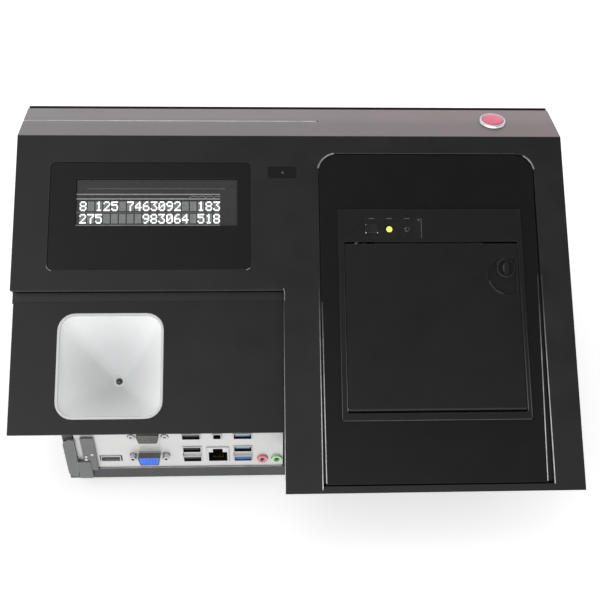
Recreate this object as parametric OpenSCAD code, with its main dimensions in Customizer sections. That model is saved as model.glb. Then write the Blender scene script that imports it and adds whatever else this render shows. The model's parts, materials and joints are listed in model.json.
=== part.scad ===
// Counter-top ticket terminal: a wedge-shaped body on a sheet-metal computer
// base. The passenger side is a sloping deck with a character display, a code
// scanner and a ticket printer; the clerk side carries a touch screen.
// Frame: +Z up, X across the width, -Y towards the passenger, origin at the
// centre of the footprint on the surface that the feet stand on. Millimetres.

/* [Body] */
// Width of the whole body
body_w = 420; // [416:1:424]
// Slope of the passenger deck above the horizontal
deck_angle = 38; // [37.5:0.25:38.5]
// Length of the deck from its toe to the top strip
deck_len = 270.5; // [269:0.5:273]
// Height of the deck's toe above the table
toe_z = 45; // [45:0.5:47]
// Depth of the flat strip along the top
strip_d = 46; // [44:1:48]
// Slope of the clerk's screen above the horizontal
screen_angle = 52; // [51:0.5:54]
// Wall of the moulded housings
wall = 3; // [2.5:0.5:3]

/* [Printer] */
// Width of the paper roll
roll_w = 80; // [79:0.5:80]
// Radius of a full paper roll
roll_r = 37; // [30:1:37]
// Radius of the platen roller's rubber
platen_r = 6; // [5.8:0.1:6]
// Furthest that the printer door opens
door_open_angle = 95; // [60:5:95]

/* [Power button] */
// Radius of the chrome ring
ring_r = 11; // [10.5:0.5:12]
// Travel of the red cap
cap_travel = 2; // [1:0.5:2]

/* [Hidden] */
$fn = 48;
eps = 0.01;

// Housing: y runs back from the toe, z up from the table
top_y = deck_len * cos(deck_angle);
top_z = toe_z + deck_len * sin(deck_angle);
strip_back_y = top_y + strip_d;
base_z = 42;                                // underside of both housings
screen_len = (top_z - base_z) / sin(screen_angle);
body_d = strip_back_y + screen_len * cos(screen_angle);
half_w = body_w / 2;
mid_y = top_y + strip_d / 2;                // parting line, slot and button
strip_t = 3;
strip_bottom_z = top_z - strip_t;
screen_t = 3;                               // screen bezel, along its normal
screen_edge = screen_t / sin(screen_angle); // the same, along the horizontal

// Chassis
foot_h = 6;
tray_z = foot_h;
chassis_x = 173;
chassis_front = 50;
chassis_back = 358;
chassis_top = 58.5;
sheet = 2;
lip_front = 47.4;
lip_top = 17;

// Left-front recess that holds the scanner cover and the connectors
recess_x = -8;                              // right-hand side of the recess
seam_s = 149.5;                             // upper side, along the deck
cover_drop = 5;
cover_t = 3;
cover_s = 44;                               // lower edge of the cover
cover_x = -half_w + 1.5;
groove_s = 141.3;
bay_back = 64;

// Deck openings
display_box = [-183.9, 165, 151.3, 84];     // x, s, width, length
tube_box = [-164.2, 199, 121.7, 36.8];
sensor_box = [-19.2, 236.1, 21.8, 9.8];
panel_left = 19.2;
panel_right = 187;
panel_bottom_left = 21.2;
panel_bottom_right = 182.6;
panel_s0 = 6;
panel_s1 = 256.3;
panel_r = 15;

// Scanner
window_c = [-136.3, 94];
window_w = 78.5;
window_r = 13;
eye_c = [-133.8, 85.5];
eye_h = -36;

// Printer, in deck coordinates x, s (up the deck) and h (out of it)
bezel_x0 = 33.6;
bezel_x1 = 173.8;
bezel_s0 = 51.2;
bezel_s1 = 211.3;
bezel_h = 0.8;
panel_h = -0.6;
skirt_h = -14;
door_x0 = 38.5;
door_x1 = 170;
door_s0 = 57.7;
door_s1 = 184.3;
door_h = 0.4;
door_t = 3;
hinge_r = 2.4;
hinge_s = door_s0 + hinge_r;
hinge_h = door_h - hinge_r;
pin_r = 1.2;
run_gap = 0.05;                             // running clearance, on the radius
slit_s = 185.9;
platen_s = 179;
platen_h = -9.5;
shaft_r = 2.5;
printer_mid_x = (door_x0 + door_x1) / 2;
head_tilt = 6;
bucket_s = 147;
bucket_h = -43;
bucket_r = 40;
roll_s = bucket_s - 2.7 * sin(deck_angle);  // the roll lies on the trough
roll_h = bucket_h - 2.7 * cos(deck_angle);
latch_c = [160.6, 165];
scoop_c = [161.5, 159.5];

// Gears
gear_m = 0.7;
platen_teeth = 14;
idler_teeth = 28;
pinion_teeth = 12;
gear_x0 = 52;
gear_w = 4;
idler_dir = -76;
pinion_dir = -20;
idler_cd = gear_m * (platen_teeth + idler_teeth) / 2 + 0.1;
pinion_cd = gear_m * (idler_teeth + pinion_teeth) / 2 + 0.1;
idler_s = platen_s + idler_cd * cos(idler_dir);
idler_h = platen_h + idler_cd * sin(idler_dir);
pinion_s = idler_s + pinion_cd * cos(pinion_dir);
pinion_h = idler_h + pinion_cd * sin(pinion_dir);

// Controls and slot
button_x = 160.6;
cap_r = 8.4;
slot_w = 2.2;
slot_depth = 22;
slot_end_x = 20;
feed_c = [59, 196.1];
led_c = [[72.6, 195.6], [86.2, 195.6]];

// Connectors, on the board behind the shield
board_z = 15.4;
board_t = 1.6;
shield_x0 = -164.8;
shield_x1 = -9;
shield_z0 = 18.7;
shield_z1 = 56;
shield_y = chassis_front - 1.4;                // its front face
socket_y = shield_y - 1;                    // mouths of the sockets
vga_x = -110;
vga_z = 31.2;
serial_z = 52.2;
jack_z = 26;
usb_z = [26.6, 37.6, 52.2];
hdmi_z = 27.9;
usb_x = [-77.9, -39.4];
jack_x = [-24.5, -13.6];

// Fan
fan_c = [-70, 150];
fan_z = 37;
fan_t = 15;

// ---- Frames and helpers ----

module in_row() translate([0, -body_d / 2, 0]) children();

module on_deck() in_row() translate([0, 0, toe_z]) rotate([deck_angle, 0, 0]) children();

// x runs to the clerk's right, y up the screen and z out of it
module on_screen()
    in_row() translate([0, body_d, base_z]) rotate([0, 0, 180]) rotate([screen_angle, 0, 0])
        children();

// Box from a low corner to a high corner
module block(a, b) translate(a) cube(b - a);

// A profile drawn in the YZ plane, extruded along X
module along_x(x0, x1) translate([x0, 0, 0]) rotate([90, 0, 90]) linear_extrude(x1 - x0) children();

// A round bar along X whose axis is at y, z
module bar_x(x0, x1, y, z, r) translate([x0, y, z]) rotate([0, 90, 0]) cylinder(r = r, h = x1 - x0);

function arc(c, r, a0, a1, n) =
    [for (i = [0:n]) let (a = a0 + (a1 - a0) * i / n) c + r * [cos(a), sin(a)]];

function rounded(w, l, r, n = 6) = concat(
    arc([w / 2 - r, l / 2 - r], r, 0, 90, n), arc([r - w / 2, l / 2 - r], r, 90, 180, n),
    arc([r - w / 2, r - l / 2], r, 180, 270, n), arc([w / 2 - r, r - l / 2], r, 270, 360, n));

// A rounded plate centred on c, from height h0 to h1
module plate(c, w, l, r, h0, h1)
    translate([c.x, c.y, h0]) linear_extrude(h1 - h0) polygon(rounded(w, l, r));

module box_plate(b, r, h0, h1, grow = 0)
    plate([b[0] + b[2] / 2, b[1] + b[3] / 2], b[2] + 2 * grow, b[3] + 2 * grow, r, h0, h1);

// Involute spur gear with a little backlash, one tooth centred on the +X axis
function involute(rb, t) = rb * [cos(t) + t * PI / 180 * sin(t), sin(t) - t * PI / 180 * cos(t)];
function turn(p, a) = [p.x * cos(a) - p.y * sin(a), p.x * sin(a) + p.y * cos(a)];
function inv_angle(rb, r) = let (t = sqrt(pow(r / rb, 2) - 1)) t * 180 / PI - atan(t);
function gear_outline(z, m, slack = 3) =
    let (r = m * z / 2, rb = r * cos(20), ro = r + 0.9 * m, rr = r - 1.25 * m,
         half = 90 / z - slack / z / 2 + inv_angle(rb, r), t1 = sqrt(pow(ro / rb, 2) - 1) * 180 / PI,
         rs = max(rb, rr), t0 = sqrt(pow(rs / rb, 2) - 1) * 180 / PI)
    [for (k = [0:z - 1]) let (a = 360 / z * k) each concat(
        [turn([rr, 0], a - half + inv_angle(rb, rs) - 1)],
        [for (i = [0:4]) turn(involute(rb, t0 + (t1 - t0) * i / 4), a - half)],
        [for (i = [4:-1:0]) let (p = involute(rb, t0 + (t1 - t0) * i / 4)) turn([p.x, -p.y], a + half)],
        [turn([rr, 0], a + half - inv_angle(rb, rs) + 1)])];

// Gear on a bar along X; phase is the angle of one tooth in the s-h plane
module gear_x(z, x0, w, s, h, phase)
    translate([x0, s, h]) rotate([phase, 0, 0]) rotate([90, 0, 90]) linear_extrude(w)
        polygon(gear_outline(z, gear_m));

// ---- Housings ----

module housing_profile() polygon([
    [3.2, base_z], [0, toe_z], [top_y, top_z], [top_y, strip_bottom_z],
    [mid_y - 0.1, strip_bottom_z], [mid_y - 0.1, base_z]]);

module housing_hollow() {
    deck_drop = wall / cos(deck_angle);
    inner_z = strip_bottom_z - wall;
    polygon([
        [deck_drop / tan(deck_angle), toe_z],
        [(inner_z - toe_z + deck_drop) / tan(deck_angle), inner_z],
        [top_y + 8, inner_z], [top_y + 8, top_z + 5], [mid_y + 1, top_z + 5], [mid_y + 1, toe_z]]);
}

function panel_outline(grow, s0) =
    let (l = panel_left - grow, r = panel_right + grow, t = panel_s1 + grow, q = panel_r + grow)
    concat([[l, s0], [r, s0]], arc([r - q, t - q], q, 0, 90, 8), arc([l + q, t - q], q, 90, 180, 8));

module front_housing() color("#2b2b2d") difference() {
    union() {
        difference() {
            in_row() along_x(-half_w, half_w) housing_profile();
            in_row() along_x(-half_w + wall, half_w - wall) housing_hollow();
            // room for the chassis below
            in_row() block([-chassis_x, chassis_front - sheet, base_z - 1],
                           [chassis_x, mid_y + 1, toe_z + 1]);
            // recess for the cover, and the open bay in front of the connectors
            on_deck() block([-half_w - 1, -60, -cover_drop - cover_t], [recess_x, seam_s, 20]);
            on_deck() block([-half_w - 1, -60, -150], [cover_x, groove_s, 0]);
            in_row() along_x(-half_w - 1, recess_x) polygon([
                [-5, 30], [bay_back, 30], [bay_back, base_z], [37.5, 70], [-5, 70]]);
            in_row() block([-chassis_x, -5, 30], [recess_x, bay_back, 70]);
        }
        // side of the recess, down beside the connectors
        in_row() along_x(recess_x, recess_x + wall) polygon([
            [4.4, base_z + 1], [chassis_front - sheet - 1, base_z + 1],
            [chassis_front - sheet - 1, chassis_top + 1], [90, chassis_top + 1], [126, 126],
            [seam_s * cos(deck_angle) + 1, toe_z + seam_s * sin(deck_angle) - 1], [1.2, toe_z - 0.5]]);
        // upper side of the recess
        on_deck() block([-half_w + wall - 1, seam_s, -11], [recess_x + wall, seam_s + wall, -1]);
        // bulkhead behind the connectors, notched for the scanner
        difference() {
            in_row() along_x(-half_w + wall - 0.1, recess_x + 1) polygon([
                [bay_back, chassis_top + 0.5], [bay_back, 83], [bay_back + wall, 86],
                [bay_back + wall, chassis_top + 0.5]]);
            in_row() block([-180.5, bay_back - 1, chassis_top + 3], [-92, bay_back + wall + 1, 90]);
        }
        in_row() along_x(-half_w + wall - 0.1, -chassis_x) polygon([
            [bay_back + 0.5, base_z + 1], [bay_back + 0.5, chassis_top + 2],
            [bay_back + wall, chassis_top + 2], [bay_back + wall, base_z + 1]]);
        // ledge under the printer panel
        on_deck() difference() {
            translate([0, 0, -6.6]) linear_extrude(6) polygon(panel_outline(3, 7));
            translate([0, 0, -3.6]) linear_extrude(6) polygon(panel_outline(0, 5));
            translate([0, 0, -8]) linear_extrude(6) polygon(panel_outline(-9, 16));
        }
    }
    // openings through the deck
    on_deck() {
        box_plate(display_box, 4, -2.4, 3);
        box_plate(display_box, 2, -5, 3, -3);
        box_plate(sensor_box, 1, -5, 3);
        translate([0, 0, -3.6]) linear_extrude(8) polygon(panel_outline(0, 5));
    }
    // end of the slot, in the left-hand wall
    in_row() block([-half_w - 1, mid_y - slot_w / 2, top_z - slot_depth],
                   [-half_w + wall + 1, mid_y + slot_w / 2, top_z + 1]);
}

module rear_housing() color("#262628") {
    back = body_d - screen_edge;
    slope_top = strip_back_y - screen_edge;
    inset = wall / sin(screen_angle);
    difference() {
        in_row() along_x(-half_w, half_w) polygon([
            [mid_y + 0.1, base_z], [mid_y + 0.1, strip_bottom_z],
            [slope_top + strip_t / tan(screen_angle), strip_bottom_z], [back, base_z]]);
        in_row() along_x(-half_w + wall, half_w - wall) polygon([
            [mid_y - 1, base_z + wall], [mid_y - 1, top_z], [slope_top - 8, top_z],
            [slope_top - 8, strip_bottom_z - wall],
            [back - inset - (strip_bottom_z - wall - base_z) / tan(screen_angle), strip_bottom_z - wall],
            [back - inset - wall / tan(screen_angle), base_z + wall]]);
        in_row() block([-chassis_x, mid_y - 1, base_z - 1], [chassis_x, chassis_back, base_z + wall + 1]);
        // opening for the display module
        on_screen() block([-182, 12, -20], [182, screen_len - 14, 10]);
        in_row() block([-half_w - 1, mid_y - slot_w / 2, top_z - slot_depth],
                       [-half_w + wall + 1, mid_y + slot_w / 2, top_z + 1]);
    }
}

module top_strip() color("#8c8284") difference() {
    in_row() block([-half_w, top_y + 0.3, strip_bottom_z],
                   [half_w, strip_back_y - screen_edge - 0.3, top_z]);
    in_row() block([-half_w - 1, mid_y - slot_w / 2, strip_bottom_z - 1],
                   [slot_end_x, mid_y + slot_w / 2, top_z + 1]);
    in_row() translate([slot_end_x, mid_y, strip_bottom_z - 1]) cylinder(r = slot_w / 2, h = strip_t + 2);
    in_row() translate([button_x, mid_y, strip_bottom_z - 1]) cylinder(r = 9.5, h = strip_t + 2);
}

module slot_guide() color("#202022") difference() {
    in_row() block([-half_w + wall + 0.2, mid_y - 5, strip_bottom_z - slot_depth - 3],
                   [slot_end_x + 4, mid_y + 5, strip_bottom_z]);
    in_row() block([-half_w, mid_y - slot_w / 2, top_z - slot_depth],
                   [slot_end_x, mid_y + slot_w / 2, top_z]);
    // pocket for the sprung read head
    in_row() block([-108.2, mid_y + slot_w / 2 - eps, top_z - 19], [-95.8, mid_y + 6, top_z - 9]);
}

module read_head() color("#b8babd") in_row() {
    block([-108, mid_y + slot_w / 2 - 0.4, top_z - 18.8], [-96, mid_y + 4.6, top_z - 9.2]);
}

// ---- Scanner side ----

module scanner_cover() color("#2e2e30") on_deck() difference() {
    union() {
        block([cover_x, cover_s, -cover_drop - cover_t], [recess_x - 0.3, groove_s, -cover_drop]);
        block([cover_x, groove_s - 1, -cover_drop - cover_t],
              [recess_x - 0.3, seam_s - 0.4, -cover_drop - 1.6]);
        block([cover_x, cover_s, -cover_drop - cover_t - 2], [recess_x - 0.3, cover_s + 2.5, -cover_drop]);
    }
    plate(window_c, window_w, window_w, window_r, -20, 2);
}

module scanner_window() color("#eef2f4", 0.35) on_deck()
    plate(window_c, window_w - 4.4, window_w - 4.4, window_r - 2.2, -7.6, -6);

module scanner_funnel() color("#f1f1ef") on_deck() difference() {
    union() {
        hull() {
            plate(window_c, window_w + 5, window_w + 5, window_r + 2.5, -10, -8.05);
            plate(eye_c, 26, 26, 7, eye_h - 1.6, eye_h);
        }
        // collar that fills the opening in the cover
        plate(window_c, window_w - 0.3, window_w - 0.3, window_r - 0.15, -9, -5.3);
    }
    hull() {
        plate(window_c, window_w - 4, window_w - 4, window_r - 2, -8.2, -4);
        plate(eye_c, 9, 9, 4, eye_h, eye_h + 1);
    }
    translate([eye_c.x, eye_c.y, eye_h - 5]) cylinder(r = 2.6, h = 10);
}

module scanner_camera() color("#1c1d20") on_deck() {
    plate(eye_c, 20, 17, 1, eye_h - 5.6, eye_h - 1.6);
    translate([eye_c.x, eye_c.y, eye_h - 2]) cylinder(r = 2.5, h = 1.8);
}

// ---- Character display ----

module display_bezel() color("#1d1d1e") on_deck() difference() {
    box_plate(display_box, 3.8, -2.4, -0.4, -0.25);
    box_plate(tube_box, 0.6, -4, 1);
}

module display_tube() color("#4a4b4c") on_deck() union() {
    box_plate(tube_box, 0.5, -3, -1.4, -0.2);
    box_plate(tube_box, 1, -9, -2.4, 4);
}

module sensor_window() color("#141416") on_deck() box_plate(sensor_box, 0.9, -3, -0.3, -0.15);

// ---- Printer ----

function tapered_panel() = concat(
    [[panel_bottom_left, panel_s0], [panel_bottom_right, panel_s0]],
    arc([panel_right - 0.6 - panel_r, panel_s1 - 0.6 - panel_r], panel_r, 0, 90, 8),
    arc([panel_left + 0.6 + panel_r, panel_s1 - 0.6 - panel_r], panel_r, 90, 180, 8));

module printer_panel() color("#222223") on_deck() difference() {
    translate([0, 0, -3.6]) linear_extrude(3.6 + panel_h) polygon(tapered_panel());
    block([bezel_x0 + 1.7, bezel_s0 + 1.8, -10], [bezel_x1 - 1.1, bezel_s1 - 1.8, 3]);
}

module printer_bezel() color("#262627") on_deck() difference() {
    union() {
        box_plate([bezel_x0, bezel_s0, bezel_x1 - bezel_x0, bezel_s1 - bezel_s0], 1, panel_h, bezel_h);
        block([bezel_x0 + 2, bezel_s0 + 2.1, skirt_h], [bezel_x1 - 1.4, bezel_s1 - 2.1, panel_h]);
    }
    // door opening, right through
    block([door_x0 - 0.5, door_s0 - 0.9, -30], [door_x1 + 0.4, slit_s, 3]);
    // room for the mechanism behind the control strip
    block([door_x0 - 0.5, slit_s - 1, -30], [door_x1 + 0.4, bezel_s1 - 4, -3]);
    plate(feed_c, 10, 8, 0.8, -5, 3);
    for (c = led_c) translate([c.x, c.y, -5]) cylinder(r = 2.3, h = 8);
    bar_x(bezel_x0 - 1, bezel_x1 + 1, hinge_s, hinge_h, pin_r);
}

module status_label() color("#17181b") on_deck() difference() {
    box_plate([52.9, 187.9, 45, 17], 0.6, bezel_h, bezel_h + 0.2);
    plate(feed_c, 10, 8, 0.8, 0, 3);
    for (c = led_c) translate([c.x, c.y, 0]) cylinder(r = 2.3, h = 3);
}

module status_leds() color("#e6f45a") on_deck() for (c = led_c) translate([c.x, c.y, -8]) {
    cylinder(r = 2.2, h = bezel_h + 8);
    translate([0, 0, bezel_h + 8 - eps]) cylinder(r1 = 2.2, r2 = 1.2, h = 0.7);
}

module control_board() color("#1f5a38") on_deck() union() {
    block([53, 190, -9.2], [93, 201, -8]);
    for (x = [66, 90]) translate([x, 199.4, -8 - eps]) cylinder(r = 1.4, h = 5 + eps);
}

module feed_button() color("#3a3b3e") on_deck() plate(feed_c, 9.6, 7.6, 0.7, -6, bezel_h + 0.9);

module hinge_pins() color("#b9bbbe") on_deck() {
    bar_x(bezel_x0 + 2.2, door_x0 + 8, hinge_s, hinge_h, pin_r);
    bar_x(door_x1 - 8, bezel_x1 - 1.6, hinge_s, hinge_h, pin_r);
}

module printer_door() color("#262627") on_deck() difference() {
    union() {
        block([door_x0, hinge_s, door_h - door_t], [door_x1, door_s1, door_h]);
        bar_x(door_x0, door_x1, hinge_s, hinge_h, hinge_r);
        for (x = [door_x0 + 1.2, door_x1 - 3.2])
            block([x, hinge_s + 6, door_h - 7], [x + 2, 150, door_h - door_t + 1]);
        for (x = [80, printer_mid_x, 128])
            block([x - 1, hinge_s + 6, door_h - 5], [x + 1, 166, door_h - door_t + 1]);
        // ears that carry the platen
        for (x = [57.5, 148])
            block([x, platen_s - 5, platen_h - 4.5], [x + 3, platen_s + 5, door_h - door_t + 1]);
    }
    for (x = [door_x0 - 1, door_x1 - 9])
        bar_x(x, x + 10, hinge_s, hinge_h, pin_r + run_gap);
    bar_x(50, 160, platen_s, platen_h, shaft_r + run_gap);
    // thumb scoop and latch seat
    intersection() {
        translate([scoop_c.x, scoop_c.y, door_h - 1.6]) cylinder(r = 15, h = 4);
        block([140, 130, -3], [168.4, 173.6, 5]);
    }
    translate([latch_c.x, latch_c.y, -10]) cylinder(r = 3 + run_gap, h = 12);
}

module door_latch() color("#1b1b1d") on_deck() translate([latch_c.x, latch_c.y, 0]) {
    translate([0, 0, door_h - door_t - 3]) cylinder(r = 3, h = door_t + 3);
    translate([0, 0, door_h - 1.5]) cylinder(r = 7.2, h = 1.3);
    translate([0, 0, door_h - 1.5]) linear_extrude(2.6) polygon(rounded(3.4, 10, 1.6));
    translate([0, 0, door_h - door_t - 3]) linear_extrude(2.5)
        polygon(concat(arc([0, 0], 5, 90, 270, 8), [[8.4, -2.5], [8.4, 2.5]]));
}

module platen_roller() color("#2b2b2c") on_deck() difference() {
    bar_x(64, 144.4, platen_s, platen_h, platen_r);
    bar_x(60, 150, platen_s, platen_h, shaft_r);
}

module platen_shaft() color("#c3c5c8") on_deck() bar_x(51, 154, platen_s, platen_h, shaft_r);

module platen_gear() color("#e9e7df") on_deck() difference() {
    gear_x(platen_teeth, gear_x0, gear_w, platen_s, platen_h, idler_dir);
    bar_x(40, 60, platen_s, platen_h, shaft_r);
}

module idler_gear() color("#e9e7df") on_deck() difference() {
    gear_x(idler_teeth, gear_x0, gear_w, idler_s, idler_h, idler_dir + 180 + 180 / idler_teeth);
    bar_x(40, 60, idler_s, idler_h, 1.5 + run_gap);
}

// The idler's nearest tooth to the pinion stands off the centre line by this angle
idler_off = (idler_dir + 180 + 180 / idler_teeth) - pinion_dir;
pinion_phase = pinion_dir + 180 + 180 / pinion_teeth
    + (idler_off - round(idler_off * idler_teeth / 360) * 360 / idler_teeth) * -idler_teeth / pinion_teeth;

module motor_pinion() color("#c9a24a") on_deck() union() {
    gear_x(pinion_teeth, gear_x0, gear_w, pinion_s, pinion_h, pinion_phase);
    bar_x(40, gear_x0 + gear_w + 1, pinion_s, pinion_h, 1);
}

module feed_motor() color("#a9abae") on_deck() difference() {
    bar_x(33.5, 46.5, pinion_s, pinion_h, 12);
    bar_x(39.5, 47, pinion_s, pinion_h, 1 + run_gap);
}

// Frame square to the print head, centred on the platen
module at_head() translate([0, platen_s, platen_h]) rotate([-head_tilt, 0, 0]) children();

module mech_frame() color("#9a9da1") on_deck() difference() {
    union() {
        block([46.5, 173, -38], [48.5, 206.8, -3]);
        at_head() block([48, 23.5, -10], [158, 25.5, 5]);
        bar_x(48, gear_x0 + gear_w + 1, idler_s, idler_h, 1.5);
    }
    bar_x(40, 50, pinion_s, pinion_h, 3);
}

module thermal_head() color("#8f6f4a") on_deck() at_head()
    block([62, platen_r + 0.1, -7], [146, platen_r + 1.1, 3]);

module head_bracket() color("#b4b7ba") on_deck() at_head() difference() {
    block([62, platen_r + 1.1, -10], [146, 23.5, 0]);
    for (x = [66:8:134]) block([x, 12, -11], [x + 5, 21, -3]);
}

module tear_bar() color("#c8cacc") on_deck() translate([0, 0, -3.8]) linear_extrude(0.8) polygon(concat(
    [[146, 192], [62, 192]],
    [for (i = [0:41]) each [[62 + 2 * i, 186.6], [63 + 2 * i, 185.6]]], [[146, 186.6]]));

module paper_bucket() color("#1f1f21") on_deck() {
    difference() {
        bar_x(61.4, 147, bucket_s, bucket_h, bucket_r + 2);
        bar_x(63.4, 145, bucket_s, bucket_h, bucket_r);
        block([0, 90, -17], [200, 200, 20]);
    }
    for (x = [door_x0 - 0.5, 146.9])
        block([x, 118, -17], [x + (x < 100 ? 23.5 : 23.5), 150, skirt_h]);
}

module paper_roll() color("#f4f3ee") on_deck() difference() {
    bar_x(printer_mid_x - roll_w / 2, printer_mid_x + roll_w / 2, roll_s, roll_h, roll_r);
    bar_x(0, 200, roll_s, roll_h, 6.5);
}

// ---- Power button ----

module button_ring() color("#c9ccd0") in_row() translate([button_x, mid_y, 0]) difference() {
    union() {
        translate([0, 0, top_z]) cylinder(r1 = ring_r, r2 = ring_r - 1, h = 2.2);
        translate([0, 0, top_z - 22]) cylinder(r = 9.4, h = 22.1);
    }
    translate([0, 0, top_z - 18]) cylinder(r = cap_r + run_gap, h = 30);
}

module button_cap() color("#e2395f") in_row() translate([button_x, mid_y, 0]) union() {
    translate([0, 0, top_z - 12]) cylinder(r = cap_r, h = 14.6);
    translate([0, 0, top_z + 2.6 - eps]) cylinder(r1 = cap_r, r2 = cap_r - 1.6, h = 0.8);
}

module button_nut() color("#aeb1b5")
in_row() translate([button_x, mid_y, strip_bottom_z - 3.5]) difference() {
    cylinder(r = 12.5, h = 3.5, $fn = 6);
    translate([0, 0, -1]) cylinder(r = 9.4, h = 6, $fn = 48);
}

// ---- Clerk's screen ----

glass_w = 398;
glass_l = 203;

module screen_bezel() color("#161618") on_screen() difference() {
    block([-half_w, 0, -screen_t], [half_w, screen_len, 0]);
    // the top and bottom edges are cut level
    rotate([-screen_angle, 0, 0]) block([-half_w - 1, -20, -20], [half_w + 1, 20, 0]);
    translate([0, screen_len, 0]) rotate([-screen_angle, 0, 0])
        block([-half_w - 1, -20, 0], [half_w + 1, 20, 20]);
    plate([0, screen_len / 2 + 0.6], glass_w + 0.6, glass_l + 0.6, 5, -1.4, 1);
    block([-178, 14, -10], [178, screen_len - 12, 1]);
}

module touch_glass() color("#0c0d10") on_screen()
    plate([0, screen_len / 2 + 0.6], glass_w, glass_l, 4.8, -1.4, -0.2);

module lcd_panel() color("#8d9094") on_screen() block([-177.5, 16, -12], [177.5, screen_len - 16, -1.4]);

// ---- Chassis ----

module chassis_tray() color("#5b5d60") difference() {
    in_row() union() {
        block([-chassis_x, chassis_front, tray_z], [chassis_x, chassis_back, tray_z + sheet]);
        block([-chassis_x, lip_front, tray_z], [chassis_x, chassis_front + 0.5, lip_top]);
        for (x = [-chassis_x, chassis_x - sheet])
            block([x, chassis_front, tray_z], [x + sheet, chassis_back, chassis_top - sheet]);
        block([-chassis_x, chassis_back - sheet, tray_z], [chassis_x, chassis_back, chassis_top - sheet]);
        for (x = [[shield_x1 + 1, chassis_x], [-chassis_x, shield_x0 - 1]])
            block([x[0], chassis_front - sheet, tray_z], [x[1], chassis_front, chassis_top - sheet]);
    }
    // the lip is a folded channel, hollow behind
    in_row() block([-chassis_x + sheet, lip_front + sheet, tray_z + sheet],
                   [chassis_x - sheet, chassis_front + sheet + 1, lip_top - sheet]);
    // air slots in the side walls
    in_row() for (y = [90:9:330]) block([-chassis_x - 1, y, 16], [-chassis_x + sheet + 1, y + 3.6, 34]);
    in_row() for (y = [90:9:270]) block([chassis_x - sheet - 1, y, 16], [chassis_x + 1, y + 3.6, 34]);
    in_row() translate([chassis_x - sheet - 1, 320, 24]) rotate([0, 90, 0]) cylinder(r = 5, h = sheet + 2);
}

module chassis_lid() color("#515356") difference() {
    in_row() block([-chassis_x, chassis_front, chassis_top - sheet], [chassis_x, chassis_back, chassis_top]);
    in_row() for (x = [-100:10:-40]) block([x, 118, 40], [x + 3.6, 182, 60]);
}

module chassis_cheeks() color("#4a4c50") in_row() {
    // curved bracket at the left of the connectors
    translate([0, lip_front, 0]) rotate([90, 0, 0]) linear_extrude(1.8) polygon(concat(
        [[-164.6, 22], [-164.6, 52], [-168, 53]], arc([-chassis_x + 5, 47], 5, 120, 180, 4),
        [[-chassis_x, 15]], arc([-chassis_x + 5, 15], 5, 180, 270, 4), [[-166, 10]]));
    // corner post and its pad, between the bracket and the connectors
    translate([-155, lip_front - 0.4, lip_top + 0.1]) linear_extrude(36.4) polygon(rounded(10, 1.8, 0.8));
    translate([-160, lip_front - 1.2, 8.4]) linear_extrude(19) polygon(rounded(10.6, 2.2, 1));
}

// D-shaped block, its front towards -Y
module d_block(x, z, w, h, y0, y1) translate([x, y1, z]) rotate([90, 0, 0]) linear_extrude(y1 - y0)
    polygon([[-w / 2, h / 2], [w / 2, h / 2], [w / 2 - 1.4, -h / 2], [1.4 - w / 2, -h / 2]]);

// Hole or bar of radius r along Y
module bar_y(x, z, y0, y1, r, facets = 48) translate([x, y1, z]) rotate([90, 0, 0])
    cylinder(r = r, h = y1 - y0, $fn = facets);

module io_shield() color("#cfd0d0") in_row() difference() {
    block([shield_x0, shield_y, lip_top + 0.1], [shield_x1, shield_y + 1.2, shield_z1]);
    block([-148.2, 40, hdmi_z - 3.4], [-131.2, 52, hdmi_z + 3.4]);
    for (z = [vga_z, serial_z]) {
        d_block(vga_x, z, 17.2, 9, 40, 52);
        for (x = [-12.5, 12.5]) bar_y(vga_x + x, z, 40, 52, 3);
    }
    for (x = usb_x) {
        block([x - 7.2, 40, usb_z[0] - 3.3], [x + 7.2, 52, usb_z[1] + 3.3]);
        block([x - 7.2, 40, usb_z[2] - 3.3], [x + 7.2, 52, usb_z[2] + 3.3]);
    }
    block([-66.9, 40, 22.6], [-49.9, 52, 40]);
    block([-62.2, 40, 48.9], [-54.8, 52, 55.4]);
    for (x = jack_x) bar_y(x, jack_z, 40, 52, 4.2);
}

module motherboard() color("#1d5136") in_row() difference() {
    block([-156, 51, board_z], [14, 221, board_z + board_t]);
    for (x = [-150, 8], y = [84, 215]) translate([x, y, 10]) cylinder(r = 1.6, h = 10);
}

module board_standoffs() color("#c2a14e") in_row() for (x = [-150, 8], y = [84, 215])
    translate([x, y, tray_z + sheet]) difference() {
        cylinder(r = 3, h = board_z - tray_z - sheet);
        translate([0, 0, 2]) cylinder(r = 1.25, h = 10);
    }

// Connector shell with an open mouth towards -Y and a tongue inside
module socket(x, z, w, h, depth, tongue_h) {
    difference() {
        block([x - w / 2, socket_y, z - h / 2], [x + w / 2, socket_y + depth, z + h / 2]);
        block([x - w / 2 + 0.6, 43, z - h / 2 + 0.6],
              [x + w / 2 - 0.6, socket_y + depth - 2, z + h / 2 - 0.6]);
    }
    if (tongue_h > 0)
        block([x - w / 2 + 1.4, socket_y + 1, z - tongue_h / 2],
              [x + w / 2 - 1.4, socket_y + depth - 1, z + tongue_h / 2]);
}

module hdmi_port() color("#b9bbbd") in_row() union() {
    socket(-139.7, hdmi_z, 15, 6, 12, 1.6);
    block([-147, 51.2, board_z + board_t], [-132.4, 56, hdmi_z - 2.9]);
}

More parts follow.
